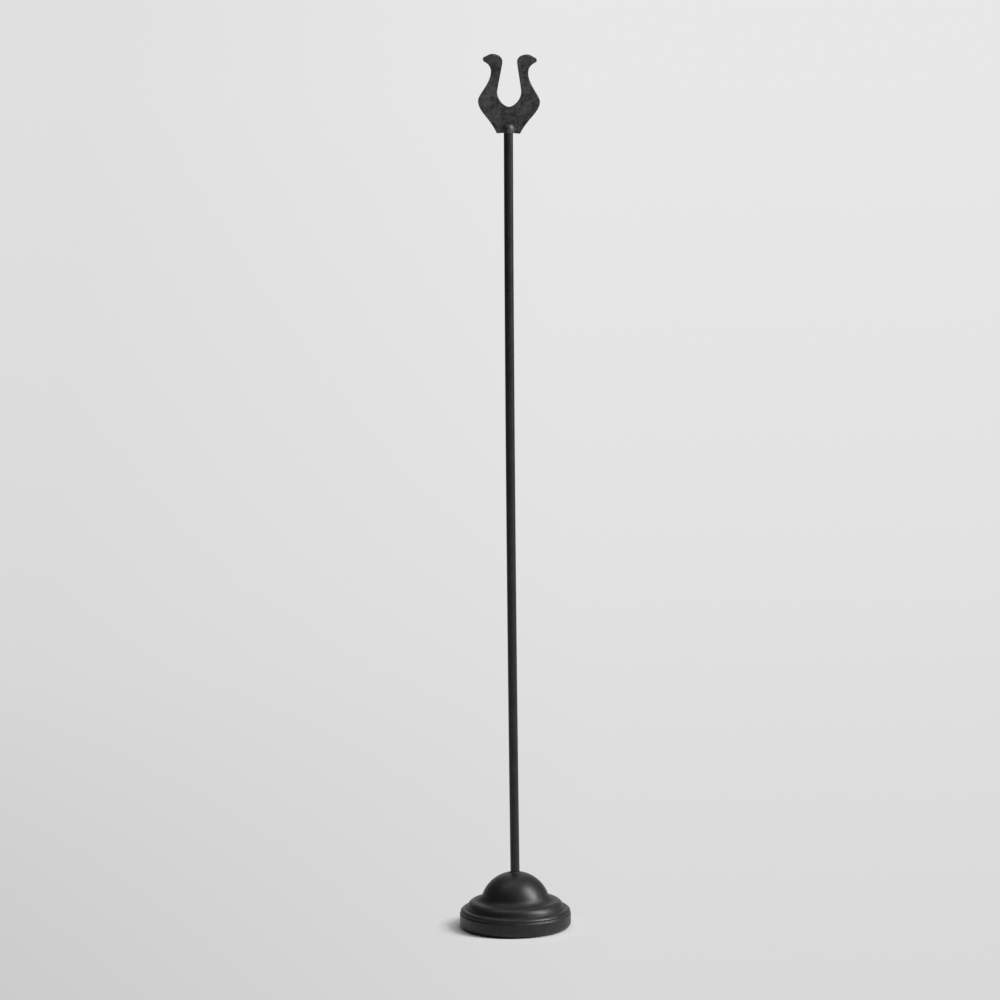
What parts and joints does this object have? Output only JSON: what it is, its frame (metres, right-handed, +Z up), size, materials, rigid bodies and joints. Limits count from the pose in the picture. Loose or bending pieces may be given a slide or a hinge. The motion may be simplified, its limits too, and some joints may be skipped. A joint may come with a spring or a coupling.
{
  "type": "table number stand",
  "caption": "Tall thin rod on a stepped round base with a domed top, carrying a lyre-shaped sheet-metal clip that pinches a table card upright.",
  "frame": {"origin": "centre of the round underside, on the table", "axes": "+Z up along the rod; -Y is the side a card is read from; X runs across the clip"},
  "size_m": [0.058, 0.058, 0.4574],
  "materials": {
    "black_paint": "satin black powder coat, very slightly grained",
    "cast_slug": "as cast",
    "plated_steel": "zinc plated",
    "pad": "black felt"
  },
  "bodies": {
    "root": {"clip_front_leaf": "black_paint", "clip_rear_leaf": "black_paint", "rod": "black_paint", "base_shell": "black_paint", "base_weight": "cast_slug", "rod_washer": "plated_steel", "rod_nut": "plated_steel", "foot_pad": "pad"}
  },
  "joints": []
}
